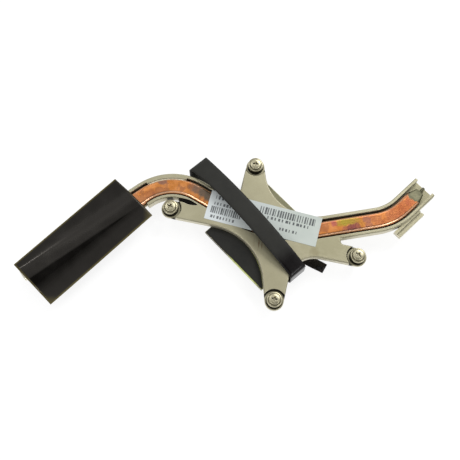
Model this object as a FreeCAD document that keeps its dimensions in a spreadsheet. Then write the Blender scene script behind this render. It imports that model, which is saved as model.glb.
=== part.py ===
import FreeCAD, Part
import Sketcher
import math
import os
from FreeCAD import Placement, Rotation, Vector

# A laptop heatsink: star bracket, flattened heat pipe, contact plate, fin stack, films and captive screws.
# Millimetres. The origin is the middle of the contact face, +Z points away from the processor.
doc = FreeCAD.newDocument("heatsink")
sizes = doc.addObject("Spreadsheet::Sheet", "Sizes")

SIZES = [
    ("plate_x", 33.0, "contact plate along X"),
    ("plate_y", 32.8, "contact plate along Y"),
    ("plate_thick", 1.5, "contact plate thickness"),
    ("plate_gap", 0.1, "clearance around the plate in its recess"),
    ("pipe_wide", 6.5, "flattened heat pipe across"),
    ("pipe_thick", 2.5, "flattened heat pipe thickness"),
    ("pipe_x0", -81.6, "pipe corner, fin end"),
    ("pipe_y0", 51.5, "pipe corner, fin end"),
    ("pipe_x1", -11.1, "pipe corner, big bend"),
    ("pipe_y1", 43.1, "pipe corner, big bend"),
    ("pipe_x2", 1.6, "pipe corner, over the plate"),
    ("pipe_y2", -4.2, "pipe corner, over the plate"),
    ("pipe_x3", 42.4, "pipe corner, end bend"),
    ("pipe_y3", -31.1, "pipe corner, end bend"),
    ("pipe_x4", 54.8, "where the sealed end starts"),
    ("bend_r1", 19.0, "big bend radius"),
    ("bend_r2", 45.0, "bend radius over the plate"),
    ("bend_r3", 21.0, "end bend radius"),
    ("seal_long", 4.2, "pinched end of the pipe"),
    ("seal_wide", 3.6, "pinched end across its tip"),
    ("seal_thick", 1.1, "pinched end thickness at its tip"),
    ("nipple_long", 2.4, "filling nipple past the pinch"),
    ("nipple_r", 0.6, "filling nipple radius"),
    ("nose_long", 1.6, "rounded fin end of the pipe"),
    ("bracket_thick", 2.7, "bracket body thickness"),
    ("bracket_edge", 0.4, "chamfer along the bracket's upper edges"),
    ("rail_gap", 0.7, "gap between pipe and rail"),
    ("rail_wide", 1.3, "rail across"),
    ("floor_thick", 0.8, "trough floor thickness"),
    ("trough_start", 53.6, "along the pipe to the start of the rails"),
    ("trough_past", 7.0, "rails past the start of the sealed end"),
    ("rail_short", 3.0, "inner rail shorter at the fin end"),
    ("pad_start", 61.0, "along the pipe to the rail's clamping pad"),
    ("pad_long", 14.0, "clamping pad length"),
    ("pad_gap", 0.05, "clearance between pad and pipe"),
    ("left_x", -20.3, "left screw"),
    ("left_y", 32.9, "left screw"),
    ("top_x", 17.6, "top screw"),
    ("top_y", 22.8, "top screw"),
    ("right_x", 20.3, "right screw"),
    ("right_y", -32.9, "right screw"),
    ("bottom_x", -16.2, "bottom screw"),
    ("bottom_y", -23.2, "bottom screw"),
    ("far_turn", 125.0, "left and right arms' direction"),
    ("far_taper", 0.0, "left and right arms' side taper"),
    ("near_turn", 43.0, "top and bottom arms' direction"),
    ("near_taper", 9.0, "top and bottom arms' side taper"),
    ("star_root", 6.0, "star carried on under the rails"),
    ("tip_r", 3.7, "arm tip radius"),
    ("seat_r", 4.5, "screw seat radius"),
    ("tab_thick", 1.2, "thin tab under a screw head"),
    ("hole_r", 1.6, "screw hole radius"),
    ("bay_side_r", 24.0, "bay between left and bottom arms"),
    ("bay_low_r", 10.5, "bay between bottom and right arms"),
    ("bay_wall_r", 20.0, "bay between top arm and rail"),
    ("bay_top_r", 4.0, "bay between top arm and big bend"),
    ("bay_slit_r", 0.6, "slit between left arm and rail"),
    ("bay_notch_r", 1.4, "notch between right arm and rail"),
    ("lens_start", 73.6, "along the pipe to the lens opening beside the left arm"),
    ("lens_long", 10.6, "lens opening length"),
    ("lens_wide", 2.0, "lens opening width"),
    ("lens_rail", 0.7, "rail left beside the lens opening"),
    ("flange_x", 45.9, "middle of the end flange"),
    ("flange_long", 14.2, "end flange length"),
    ("flange_wide", 2.6, "end flange past the rail"),
    ("flange_thick", 2.2, "end flange thickness"),
    ("flange_groove", 0.7, "groove along the flange, across and deep"),
    ("insulator_thick", 0.15, "insulating film thickness"),
    ("insulator_edge", 0.35, "bare plate edge beside the film"),
    ("insulator_gap", 0.2, "film to bracket"),
    ("fin_pitch", 1.6, "fin spacing"),
    ("fin_y", 47.0, "middle of the fin stack"),
    ("fin_deep", 16.4, "fin along the air flow"),
    ("fin_high", 7.2, "fin height"),
    ("fin_thick", 0.3, "fin sheet thickness"),
    ("fin_gap", 0.05, "clearance between neighbouring fins"),
    ("film_past", 0.25, "fin film past the start of the rails"),
    ("film_margin", 0.85, "fin film past the first fin"),
    ("film_tail", 2.4, "fin film past the last fin"),
    ("film_long", 52.9, "fin film length"),
    ("film_wide", 21.9, "fin film width"),
    ("film_thick", 0.2, "fin film thickness"),
    ("film_ridge", 5.2, "flat of the film on the pipe"),
    ("film_foot", 9.4, "where the film meets the fins, from the pipe"),
    ("label_long", 46.0, "label length"),
    ("label_wide", 12.6, "label width"),
    ("label_thick", 0.12, "label thickness"),
    ("label_x", 4.0, "label middle"),
    ("label_y", 4.1, "label middle"),
    ("label_turn", -58.3, "label direction"),
    ("band_wide", 7.5, "tape band across"),
    ("band_thick", 0.25, "tape band thickness"),
    ("band_far", 40.2, "band loop past the big bend"),
    ("band_near", 21.6, "band loop past the low bay"),
    ("band_lap", 9.0, "band end turned under"),
    ("band_r", 2.8, "band fold radius"),
    ("band_tight_r", 1.6, "tighter fold over the low bay"),
    ("band_rise", 9.0, "corner of the band's crown over the label"),
    ("band_crown_r", 95.0, "crown radius"),
    ("band_x", -0.35, "band middle"),
    ("band_turn", -2.6, "band direction across the bracket"),
    ("tail_x", 11.4, "band tail from the band's middle"),
    ("tail_wide", 4.6, "band tail across its end"),
    ("tail_y", 26.2, "band tail end from the middle"),
    ("screw_r", 1.25, "screw shank radius"),
    ("screw_long", 10.2, "screw under its head"),
    ("screw_lift", 1.8, "screw travel up to its clip"),
    ("head_r", 3.05, "screw head radius"),
    ("head_high", 1.8, "screw head height"),
    ("head_rim", 0.9, "straight rim of the head"),
    ("head_flat_r", 2.1, "flat top of the head"),
    ("cross_long", 2.6, "cross recess across"),
    ("cross_wide", 0.6, "cross recess arm width"),
    ("cross_deep", 1.0, "cross recess depth"),
    ("point_long", 0.5, "chamfered screw point"),
    ("clip_r", 2.5, "retaining clip radius"),
    ("clip_thick", 0.5, "retaining clip thickness"),
    ("clip_gap", 0.04, "clearance between clip and groove"),
    ("groove_r", 0.95, "screw groove radius"),
    ("clip_mouth", 1.6, "opening of the clip"),
]
for row, (alias, value, meaning) in enumerate(SIZES, 1):
    sizes.set("A%d" % row, meaning)
    sizes.set("B%d" % row, str(value))
    sizes.setAlias("B%d" % row, alias)
doc.recompute()


# Heights that several pieces share.
PLATE_TOP = "Sizes.plate_thick"
BRACKET_TOP = "Sizes.plate_thick + Sizes.bracket_thick"
PIPE_TOP = "Sizes.plate_thick + Sizes.pipe_thick"
PIPE_MIDDLE = "Sizes.plate_thick + Sizes.pipe_thick / 2"
SEAT_TOP = "Sizes.plate_thick + Sizes.tab_thick"
FLOOR_LOW = "Sizes.plate_thick - Sizes.floor_thick"
REST = "Sizes.plate_thick - Sizes.fin_high"
LABEL_TOP = "Sizes.plate_thick + Sizes.bracket_thick + Sizes.label_thick"


def s(alias):
    return float(sizes.get(alias))


def way(degrees):
    return Vector(math.cos(math.radians(degrees)), math.sin(math.radians(degrees)), 0)


def bind(item, **formulas):
    for name, formula in formulas.items():
        item.setExpression(name.replace("__", "."), formula)
    return item


def body(name):
    made = doc.addObject("PartDesign::Body", name)
    made.Label = name
    return made


def sketch(owner, name, role="XY_Plane", lift=None):
    made = owner.newObject("Sketcher::SketchObject", name)
    plane = [f for f in owner.Origin.OriginFeatures if f.Role == role][0]
    made.AttachmentSupport = [(plane, "")]
    made.MapMode = "FlatFace"
    if lift:
        made.setExpression("AttachmentOffset.Base.z", lift)
    return made


def across(owner, name, distance):
    # A sketch square to the pipe: its x runs to the left of the pipe, its y runs up.
    made = sketch(owner, name, "YZ_Plane")
    spot, turn = station(distance)
    made.AttachmentOffset = Placement(Vector(spot.y, 0, spot.x), Rotation(Vector(0, 1, 0), turn))
    return made


def constrain(made, *parts, formula=None):
    number = made.addConstraint(Sketcher.Constraint(*parts))
    if formula:
        made.setExpression("Constraints[%d]" % number, formula)


def rectangle(made, left, low, right, top):
    # Each side is a formula of named sizes, held to the sketch's own axes.
    made.recompute()
    reach = {"left": left, "low": low, "right": right, "top": top}
    at = {side: float(made.evalExpression(formula)) for side, formula in reach.items()}
    corners = [(at["left"], at["low"]), (at["right"], at["low"])]
    corners += [(at["right"], at["top"]), (at["left"], at["top"])]
    for here, there in zip(corners, corners[1:] + corners[:1]):
        made.addGeometry(Part.LineSegment(Vector(*here, 0), Vector(*there, 0)))
    for line in range(4):
        constrain(made, "Coincident", line, 2, (line + 1) % 4, 1)
        constrain(made, "Vertical" if line % 2 else "Horizontal", line)
    constrain(made, "DistanceX", -1, 1, 0, 1, at["left"], formula=left)
    constrain(made, "DistanceY", -1, 1, 0, 1, at["low"], formula=low)
    constrain(made, "DistanceX", -1, 1, 2, 1, at["right"], formula=right)
    constrain(made, "DistanceY", -1, 1, 2, 1, at["top"], formula=top)


def centred(made, half_x, half_y):
    rectangle(made, "-(%s)" % half_x, "-(%s)" % half_y, half_x, half_y)


def circle(made, centre_x, centre_y, radius):
    at = [float(made.evalExpression(formula)) for formula in (centre_x, centre_y, radius)]
    number = made.addGeometry(Part.Circle(Vector(at[0], at[1], 0), Vector(0, 0, 1), at[2]))
    constrain(made, "Radius", number, at[2], formula=radius)
    constrain(made, "DistanceX", -1, 1, number, 3, at[0], formula=centre_x)
    constrain(made, "DistanceY", -1, 1, number, 3, at[1], formula=centre_y)


def rounded(made, corners):
    # A closed outline. Each corner is (point, radius), or three points of a round tip.
    count = len(corners)
    turns = []
    for i, corner in enumerate(corners):
        if len(corner) == 2 and corner[1]:
            corner = fillet(corners[i - 1], corner, corners[(i + 1) % count])
        turns.append(corner)
    for i, corner in enumerate(turns):
        if len(corner) == 3:
            made.addGeometry(Part.Arc(*corner))
        leave = corner[2] if len(corner) == 3 else corner[0]
        following = turns[(i + 1) % count][0]
        if (following - leave).Length > 1e-6:
            made.addGeometry(Part.LineSegment(leave, following))


def fillet(before, corner, after):
    # The first, middle and last points of the arc that rounds a corner.
    spot, radius = corner
    back = ((before[2] if len(before) == 3 else before[0]) - spot).normalize()
    ahead = (after[0] - spot).normalize()
    half = back.getAngle(ahead) / 2
    run = radius / math.tan(half)
    inward = (back + ahead).normalize()
    return spot + back * run, spot + inward * (radius / math.sin(half) - radius), spot + ahead * run


def meet(first, first_way, second, second_way):
    # Where two lines in the plan cross.
    scale = first_way.x * second_way.y - first_way.y * second_way.x
    gap = second - first
    return first + first_way * ((gap.x * second_way.y - gap.y * second_way.x) / scale)


def pad(owner, made, **formulas):
    return bind(feature(owner, "Pad", made), **formulas)


def pocket(owner, made, **formulas):
    return bind(feature(owner, "Pocket", made), **formulas)


def feature(owner, kind, profile):
    made = owner.newObject("PartDesign::" + kind, profile.Name + kind)
    made.Profile = profile
    return made


def trim(owner, name, middle, half_x, half_y, margin):
    # Cuts away what lies outside a rectangle in the plan.
    made = sketch(owner, name, "XY_Plane", LABEL_TOP)
    for x, y in ((half_x + margin, half_y + margin), (half_x, half_y)):
        around = [(-x, -y), (x, -y), (x, y), (-x, y)]
        rounded(made, [(middle + Vector(*spot, 0), 0) for spot in around])
    pocket(owner, made, Length=LABEL_TOP)


def pipe(owner, kind, profile, spine):
    made = feature(owner, kind, profile)
    made.Spine = (spine, ["Edge%d" % (i + 1) for i in range(len(spine.Geometry))])
    doc.recompute()
    return made


# The heat pipe's centre line in plan: straight stretches joined by bends.
corners = [Vector(s("pipe_x%d" % i), s("pipe_y%d" % i), 0) for i in range(4)]
corners.append(Vector(s("pipe_x4"), s("pipe_y3"), 0))
legs = [(b - a).normalize() for a, b in zip(corners, corners[1:])]
stretches = []
here = corners[0]
for i in range(1, 4):
    turn = legs[i - 1].getAngle(legs[i])
    side = 1 if legs[i - 1].cross(legs[i]).z > 0 else -1
    radius = s("bend_r%d" % i)
    start = corners[i] - legs[i - 1] * (radius * math.tan(turn / 2))
    heading = math.degrees(math.atan2(legs[i - 1].y, legs[i - 1].x))
    stretches.append((here, heading, (start - here).Length, 0))
    stretches.append((start, heading, radius * turn, side / radius))
    here = corners[i] + legs[i] * (radius * math.tan(turn / 2))
heading = math.degrees(math.atan2(legs[3].y, legs[3].x))
stretches.append((here, heading, (corners[4] - here).Length, 0))
pipe_long = sum(stretch[2] for stretch in stretches)


def along(stretch, distance):
    start, turn, length, curve = stretch
    if not curve:
        return start + way(turn) * distance, turn
    centre = start + way(turn + 90) * (1 / curve)
    bent = turn + math.degrees(distance * curve)
    return centre - way(bent + 90) * (1 / curve), bent


def station(distance):
    # The point and the heading at a distance along the centre line.
    for stretch in stretches[:-1]:
        if distance < stretch[2]:
            return along(stretch, distance)
        distance -= stretch[2]
    return along(stretches[-1], distance)


def beside(distance, out):
    # A point on the right-hand side of the centre line.
    spot, turn = station(distance)
    return spot + way(turn - 90) * out


def spine(owner, name, start, end, lift):
    # The centre line between two distances, drawn as lines and arcs.
    made = sketch(owner, name, "XY_Plane", lift)
    passed = 0
    for number, stretch in enumerate(stretches):
        first = max(start - passed, 0)
        last = end - passed if number == len(stretches) - 1 else min(end - passed, stretch[2])
        passed += stretch[2]
        if last - first < 1e-6:
            continue
        points = [along(stretch, distance)[0] for distance in (first, (first + last) / 2, last)]
        if stretch[3]:
            made.addGeometry(Part.Arc(*points))
        else:
            made.addGeometry(Part.LineSegment(points[0], points[2]))
    return made


# Contact plate: the flat face that lies on the processor.
contact_plate = body("contact_plate")
plate_outline = sketch(contact_plate, "plate_outline")
centred(plate_outline, "Sizes.plate_x / 2", "Sizes.plate_y / 2")
pad(contact_plate, plate_outline, Length=PLATE_TOP)


# Heat pipe: a flattened tube with a rounded end over the fins and a pinched, sealed end.
def oval(made, wide, thick):
    # A flat oval around the sketch origin, raised to the middle of the pipe.
    high = float(made.evalExpression(PIPE_MIDDLE))
    flat = (wide - thick) / 2
    low, top = Vector(0, high - thick / 2, 0), Vector(0, high + thick / 2, 0)
    over, out = Vector(flat, 0, 0), Vector(flat + thick / 2, 0, 0)
    middle = Vector(0, high, 0)
    made.addGeometry(Part.LineSegment(low - over, low + over))
    made.addGeometry(Part.Arc(low + over, middle + out, top + over))
    made.addGeometry(Part.LineSegment(top + over, top - over))
    made.addGeometry(Part.Arc(top - over, middle - out, low - over))


heat_pipe = body("heat_pipe")
pipe_section = across(heat_pipe, "pipe_section", s("nose_long"))
oval(pipe_section, s("pipe_wide"), s("pipe_thick"))
pipe_spine = spine(heat_pipe, "pipe_spine", s("nose_long"), pipe_long, PIPE_MIDDLE)
pipe(heat_pipe, "AdditivePipe", pipe_section, pipe_spine)
for name, start, end, wide, thick in (
    ("nose", s("nose_long"), 0, s("pipe_wide") * 0.7, s("pipe_thick") * 0.55),
    ("seal", pipe_long, pipe_long + s("seal_long"), s("seal_wide"), s("seal_thick")),
):
    full = across(heat_pipe, name + "_root", start)
    oval(full, s("pipe_wide"), s("pipe_thick"))
    tip = across(heat_pipe, name + "_tip", end)
    oval(tip, wide, thick)
    taper = feature(heat_pipe, "AdditiveLoft", full)
    taper.Sections = [tip]
    taper.Ruled = True
nipple_section = across(heat_pipe, "nipple_section", pipe_long + s("seal_long"))
circle(nipple_section, "0", PIPE_MIDDLE, "Sizes.nipple_r")
pad(heat_pipe, nipple_section, Length="Sizes.nipple_long")

# Bracket: a cast star with four screw arms and a railed trough that carries the pipe.
bracket = body("bracket")
arms = {
    "left": (s("far_turn"), s("far_taper")),
    "top": (s("near_turn"), s("near_taper")),
    "right": (s("far_turn") + 180, s("far_taper")),
    "bottom": (s("near_turn") + 180, s("near_taper")),
}


def screw_spot(name):
    return Vector(s(name + "_x"), s(name + "_y"), 0)


def flank(name, side, out=0):
    # One side of an arm as a point and a direction: side +1 is to the left when looking at the tip.
    turn, taper = arms[name]
    turn -= side * taper
    return screw_spot(name) + way(turn + 90 * side) * (s("tip_r") + out), way(turn)


def wall(leg, side):
    # The outer face of a rail beside one straight leg of the pipe.
    half = s("pipe_wide") / 2 + s("rail_gap") + s("rail_wide")
    return corners[leg] + Vector(-legs[leg].y, legs[leg].x, 0) * half * side, legs[leg]


def tip(name):
    return flank(name, -1)[0], screw_spot(name) + way(arms[name][0]) * s("tip_r"), flank(name, 1)[0]


upper, lower = meet(*flank("top", 1), *wall(1, 1)), meet(*flank("left", -1), *wall(1, -1))
inner, outer = meet(*flank("right", 1), *wall(2, -1)), meet(*flank("top", -1), *wall(2, 1))
star = sketch(bracket, "star", "XY_Plane", PLATE_TOP)
rounded(star, [
    tip("top"),
    (upper, s("bay_top_r")),
    (upper - legs[1] * s("star_root"), 0),
    (lower - legs[1] * s("star_root"), 0),
    (lower, s("bay_slit_r")),
    tip("left"),
    (meet(*flank("left", 1), *flank("bottom", -1)), s("bay_side_r")),
    tip("bottom"),
    (meet(*flank("bottom", 1), *flank("right", -1)), s("bay_low_r")),
    tip("right"),
    (inner, s("bay_notch_r")),
    (inner + legs[2] * s("star_root"), 0),
    (outer + legs[2] * (s("bay_wall_r") + s("star_root")), 0),
    (outer, s("bay_wall_r")),
])
star_pad = pad(bracket, star, Length="Sizes.bracket_thick")
doc.recompute()
high = star_pad.Shape.BoundBox.ZMax
upper_face = [i for i, face in enumerate(star_pad.Shape.Faces, 1) if face.BoundBox.ZMin > high - 1e-6]
star_edge = bracket.newObject("PartDesign::Chamfer", "star_edge")
star_edge.Base = (star_pad, ["Face%d" % upper_face[0]])
bind(star_edge, Size="Sizes.bracket_edge")

trough_section = across(bracket, "trough_section", s("trough_start"))
half = s("pipe_wide") / 2 + s("rail_gap") + s("rail_wide")
low, slope = s("plate_thick") - s("floor_thick"), s("bracket_edge")
trough_line = [(-half, low), (half, low), (half, high - slope), (half - slope, high)]
trough_line += [(slope - half, high), (-half, high - slope)]
rounded(trough_section, [(Vector(x, y, 0), 0) for x, y in trough_line])
trough_end = pipe_long + s("trough_past")
trough_spine = spine(bracket, "trough_spine", s("trough_start"), trough_end, PIPE_MIDDLE)
pipe(bracket, "AdditivePipe", trough_section, trough_spine)

flange = sketch(bracket, "flange", "XY_Plane", FLOOR_LOW)
rail_side = "Sizes.pipe_y3 - Sizes.pipe_wide / 2 - Sizes.rail_gap - Sizes.rail_wide"
rectangle(
    flange,
    "Sizes.flange_x - Sizes.flange_long / 2",
    rail_side + " - Sizes.flange_wide",
    "Sizes.flange_x + Sizes.flange_long / 2",
    rail_side + " + Sizes.rail_wide / 2",
)
pad(bracket, flange, Length="Sizes.flange_thick")
flange_groove = sketch(bracket, "flange_groove", "XY_Plane", FLOOR_LOW + " + Sizes.flange_thick")
rectangle(
    flange_groove,
    "Sizes.flange_x - Sizes.flange_long / 2 - 1",
    rail_side + " - 2 * Sizes.flange_groove",
    "Sizes.flange_x + Sizes.flange_long / 2 + 1",
    rail_side + " - Sizes.flange_groove",
)
pocket(bracket, flange_groove, Length="Sizes.flange_groove")

groove_section = across(bracket, "groove_section", s("trough_start") - 1)
half = "Sizes.pipe_wide / 2 + Sizes.rail_gap"
rectangle(groove_section, "-(%s)" % half, PLATE_TOP, half, BRACKET_TOP + " + 1")
groove_spine = spine(bracket, "groove_spine", s("trough_start") - 1, trough_end + 1, PIPE_MIDDLE)
pipe(bracket, "SubtractivePipe", groove_section, groove_spine)

clamp_section = across(bracket, "clamp_section", s("pad_start"))
rectangle(
    clamp_section,
    "Sizes.pipe_wide / 2 + Sizes.pad_gap",
    PLATE_TOP,
    half + " + Sizes.rail_wide / 2",
    BRACKET_TOP,
)
clamp_spine = spine(bracket, "clamp_spine", s("pad_start"), s("pad_start") + s("pad_long"), PIPE_MIDDLE)
pipe(bracket, "AdditivePipe", clamp_section, clamp_spine)

rail_trim = across(bracket, "rail_trim", s("trough_start") + s("rail_short"))
rail_out = "-(%s + 2 * Sizes.rail_wide)" % half
rectangle(rail_trim, rail_out, FLOOR_LOW + " - 1", "-(%s)" % half, BRACKET_TOP + " + 1")
pocket(bracket, rail_trim, Length="Sizes.rail_short + 2")

plate_recess = sketch(bracket, "plate_recess", "XY_Plane", PLATE_TOP)
centred(plate_recess, "Sizes.plate_x / 2 + Sizes.plate_gap", "Sizes.plate_y / 2 + Sizes.plate_gap")
pocket(bracket, plate_recess, Length=PLATE_TOP)

seats = sketch(bracket, "seats", "XY_Plane", BRACKET_TOP)
holes = sketch(bracket, "holes", "XY_Plane", BRACKET_TOP)
for name in arms:
    circle(seats, "Sizes.%s_x" % name, "Sizes.%s_y" % name, "Sizes.seat_r")
    circle(holes, "Sizes.%s_x" % name, "Sizes.%s_y" % name, "Sizes.hole_r")
pocket(bracket, seats, Length="Sizes.bracket_thick - Sizes.tab_thick")
pocket(bracket, holes, Length="Sizes.bracket_thick + 1")

# A lens-shaped opening between the left arm and the rail, drawn with two arcs.
lens = sketch(bracket, "lens", "XY_Plane", BRACKET_TOP)
rail_line = s("pipe_wide") / 2 + s("rail_gap") + s("lens_rail")
first = beside(s("lens_start"), rail_line + s("lens_wide") / 3)
last = beside(s("lens_start") + s("lens_long"), rail_line)
halfway = s("lens_start") + s("lens_long") / 2
lens.addGeometry(Part.Arc(first, beside(halfway, rail_line), last))
lens.addGeometry(Part.Arc(last, beside(halfway, rail_line + s("lens_wide")), first))
pocket(bracket, lens, Length="Sizes.bracket_thick + Sizes.floor_thick + 1")

# Insulating film: lies on the plate in the side bay, between the arms and the plate's edge.
insulating_film = body("insulating_film")
bay_film = sketch(insulating_film, "bay_film", "XY_Plane", PLATE_TOP)
gap, bare = s("insulator_gap"), s("insulator_edge")
upper_side, lower_side = flank("left", 1, gap), flank("bottom", -1, gap)
rounded(bay_film, [
    (upper_side[0], 0),
    (meet(*upper_side, *lower_side), s("bay_side_r") - gap),
    (lower_side[0], 0),
])
pad(insulating_film, bay_film, Length="Sizes.insulator_thick")
plate_reach = s("plate_x") / 2 - bare, s("plate_y") / 2 - bare
trim(insulating_film, "bay_trim", Vector(), *plate_reach, s("plate_x"))

# Fins: thin folded sheets whose top and bottom flanges reach the next fin.
film_end = station(s("trough_start"))[0].x + s("film_past")
first_fin = film_end - s("film_long") + s("film_margin")
fin_count = int((s("film_long") - s("film_margin") - s("film_tail")) / s("fin_pitch"))
for number in range(fin_count):
    name = "fin_%02d" % (number + 1)
    fin = body(name)
    fold = sketch(fin, name + "_fold", "XZ_Plane")
    sheet = s("fin_thick")
    reach = s("fin_pitch") - s("fin_gap")
    top = s("fin_high")
    fold_line = [(0, 0), (reach, 0), (reach, sheet), (sheet, sheet)]
    fold_line += [(sheet, top - sheet), (reach, top - sheet), (reach, top), (0, top)]
    rounded(fold, [(Vector(x, y, 0), 0) for x, y in fold_line])
    pad(fin, fold, Length="Sizes.fin_deep").Midplane = True
    bind(
        fin,
        Placement__Base__x="%r + %d * Sizes.fin_pitch" % (first_fin, number),
        Placement__Base__y="Sizes.fin_y",
        Placement__Base__z=REST,
    )

# Fin film: a sheet tented over the pipe and down to the fins, trimmed square.
fin_film = body("fin_film")
tent = across(fin_film, "tent", -s("film_long") / 2)
low, top = s("plate_thick"), s("plate_thick") + s("pipe_thick")
wide = s("film_wide") + s("film_foot")
under = [(-wide, low), (-s("film_foot"), low), (-s("film_ridge") / 2, top)]
under += [(s("film_ridge") / 2, top), (s("film_foot"), low), (wide, low)]
over = [(x, y + s("film_thick")) for x, y in reversed(under)]
rounded(tent, [(Vector(x, y, 0), 0) for x, y in under + over])
pad(fin_film, tent, Length="2 * Sizes.film_long")
film_middle = Vector(film_end - s("film_long") / 2, s("fin_y"), 0)
trim(fin_film, "film_trim", film_middle, s("film_long") / 2, s("film_wide") / 2, 2 * s("film_long"))

# Label: stuck across the bracket and over the pipe.
label = body("label")
label_outline = sketch(label, "label_outline")
centred(label_outline, "Sizes.label_long / 2", "Sizes.label_wide / 2")
pad(label, label_outline, Length="Sizes.label_thick")
label.Placement = Placement(Vector(), Rotation(Vector(0, 0, 1), 1))
bind(
    label,
    Placement__Base__x="Sizes.label_x",
    Placement__Base__y="Sizes.label_y",
    Placement__Base__z=BRACKET_TOP,
    Placement__Rotation__Angle="Sizes.label_turn",
)

# Tape band: a loose loop around the middle, its lower run slanting to a free tail.
tape_band = body("tape_band")
loop = sketch(tape_band, "loop", "YZ_Plane")
thick = s("band_thick")
rest = s("plate_thick") - s("fin_high")
over = float(loop.evalExpression(LABEL_TOP))
far, near, lap = s("band_far"), s("band_near"), s("band_lap")
crown = (far - near) / 2, over + thick + s("band_rise")
outside = [(lap - near, rest), (-near, rest), (-near, over + thick), crown]
outside += [(far, over + thick), (far, rest), (far - lap, rest)]
shift = [(0, 1), (1, 1), (1, -1), (0, -1), (-1, -1), (-1, 1), (0, 1)]
within = [(y + dy * thick, z + dz * thick) for (y, z), (dy, dz) in zip(outside, shift)]
folds = [0, s("band_r"), s("band_tight_r"), s("band_crown_r"), s("band_r"), s("band_r"), 0]
inner_folds = [max(fold - thick, 0) for fold in folds]
strip = [(Vector(y, z, 0), r) for (y, z), r in zip(outside, folds)]
strip += [(Vector(y, z, 0), r) for (y, z), r in list(zip(within, inner_folds))[::-1]]
rounded(loop, strip)
pad(tape_band, loop, Length="Sizes.band_wide").Midplane = True
tail = sketch(tape_band, "tail", "XY_Plane", REST)
reach, narrow = s("band_wide") / 2, s("tail_wide") / 2
tail_start, tail_end = far - lap + 1, -s("tail_y")
tail_line = [(-reach, tail_start), (s("tail_x") - narrow, tail_end)]
tail_line += [(s("tail_x") + narrow, tail_end + narrow / 2), (reach, tail_start)]
rounded(tail, [(Vector(x, y, 0), 0) for x, y in tail_line])
pad(tape_band, tail, Length="Sizes.band_thick")
tape_band.Placement = Placement(Vector(), Rotation(Vector(0, 0, 1), 1))
bind(tape_band, Placement__Base__x="Sizes.band_x", Placement__Rotation__Angle="Sizes.band_turn")

# Captive screws, lifted until each clip meets its tab, with a groove for the clip.
for name in arms:
    place = {"Placement__Base__x": "Sizes.%s_x" % name, "Placement__Base__y": "Sizes.%s_y" % name}
    screw = body("captive_screw_" + name)
    turned = sketch(screw, name + "_turned", "XZ_Plane")
    tip_low, shank, head = -s("screw_long"), s("screw_r"), s("head_r")
    clip_top = -s("tab_thick") - s("screw_lift") + s("clip_gap")
    clip_low = clip_top - s("clip_thick") - 2 * s("clip_gap")
    profile = [(0, tip_low), (shank - s("point_long") * 0.8, tip_low), (shank, tip_low + s("point_long"))]
    profile += [(shank, clip_low), (s("groove_r"), clip_low), (s("groove_r"), clip_top), (shank, clip_top)]
    profile += [(shank, 0), (head, 0), (head, s("head_rim")), (s("head_flat_r"), s("head_high"))]
    profile += [(0, s("head_high"))]
    rounded(turned, [(Vector(x, y, 0), 0) for x, y in profile])
    spin = feature(screw, "Revolution", turned)
    spin.ReferenceAxis = (turned, ["V_Axis"])
    spin.Angle = 360
    recess = sketch(screw, name + "_recess", "XY_Plane", "Sizes.head_high")
    long, wide = s("cross_long") / 2, s("cross_wide") / 2
    arm = [(long, -wide), (long, wide), (wide, wide)]
    cross = [(Vector(x, y, 0), 0) for x, y in arm]
    for quarter in (90, 180, 270):
        cross += [(Rotation(Vector(0, 0, 1), quarter).multVec(Vector(x, y, 0)), 0) for x, y in arm]
    rounded(recess, cross)
    pocket(screw, recess, Length="Sizes.cross_deep")
    bind(screw, **place, Placement__Base__z=SEAT_TOP + " + Sizes.screw_lift")

    clip = body("retaining_clip_" + name)
    ring = sketch(clip, name + "_ring")
    bore, mouth = s("groove_r") + s("clip_gap"), s("clip_mouth") / 2
    rim = s("clip_r")
    outer_start = Vector(math.sqrt(rim**2 - mouth**2), mouth, 0)
    inner_start = Vector(math.sqrt(bore**2 - mouth**2), mouth, 0)
    flip = Rotation(Vector(1, 0, 0), 180)
    outer_end, inner_end = flip.multVec(outer_start), flip.multVec(inner_start)
    ring.addGeometry(Part.Arc(outer_start, Vector(-rim, 0, 0), outer_end))
    ring.addGeometry(Part.LineSegment(outer_end, inner_end))
    ring.addGeometry(Part.Arc(inner_end, Vector(-bore, 0, 0), inner_start))
    ring.addGeometry(Part.LineSegment(inner_start, outer_start))
    pad(clip, ring, Length="Sizes.clip_thick")
    bind(clip, **place, Placement__Base__z=PLATE_TOP + " - Sizes.clip_thick")

doc.recompute()
os.makedirs("parts", exist_ok=True)
for item in doc.Objects:
    assert not {"Invalid", "Error"} & set(item.State), (item.Name, item.State)
for item in doc.Objects:
    if item.TypeId == "PartDesign::Body":
        assert item.Shape.isValid() and item.Shape.Solids, item.Name
        item.Shape.exportStep("parts/%s.step" % item.Name)
        print(item.Name, len(item.Shape.Solids), [round(v, 2) for v in (
            item.Shape.BoundBox.XMin, item.Shape.BoundBox.XMax, item.Shape.BoundBox.YMin,
            item.Shape.BoundBox.YMax, item.Shape.BoundBox.ZMin, item.Shape.BoundBox.ZMax)])
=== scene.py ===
# %% [markdown]
# This is a laptop heatsink. A cast bracket with four captive screws holds a flat copper heat pipe; a contact
# plate below takes up the heat, and a stack of fins at the pipe's far end gives it off under a black film.
# The solids come from the CAD model and are loaded as a fixed frame. Most of them only need a finish here;
# soft or fine pieces, such as film, tape and screw threads, get meshes of their own.

import math

import bmesh
import bpy
from mathutils import Matrix, Vector, noise


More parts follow.
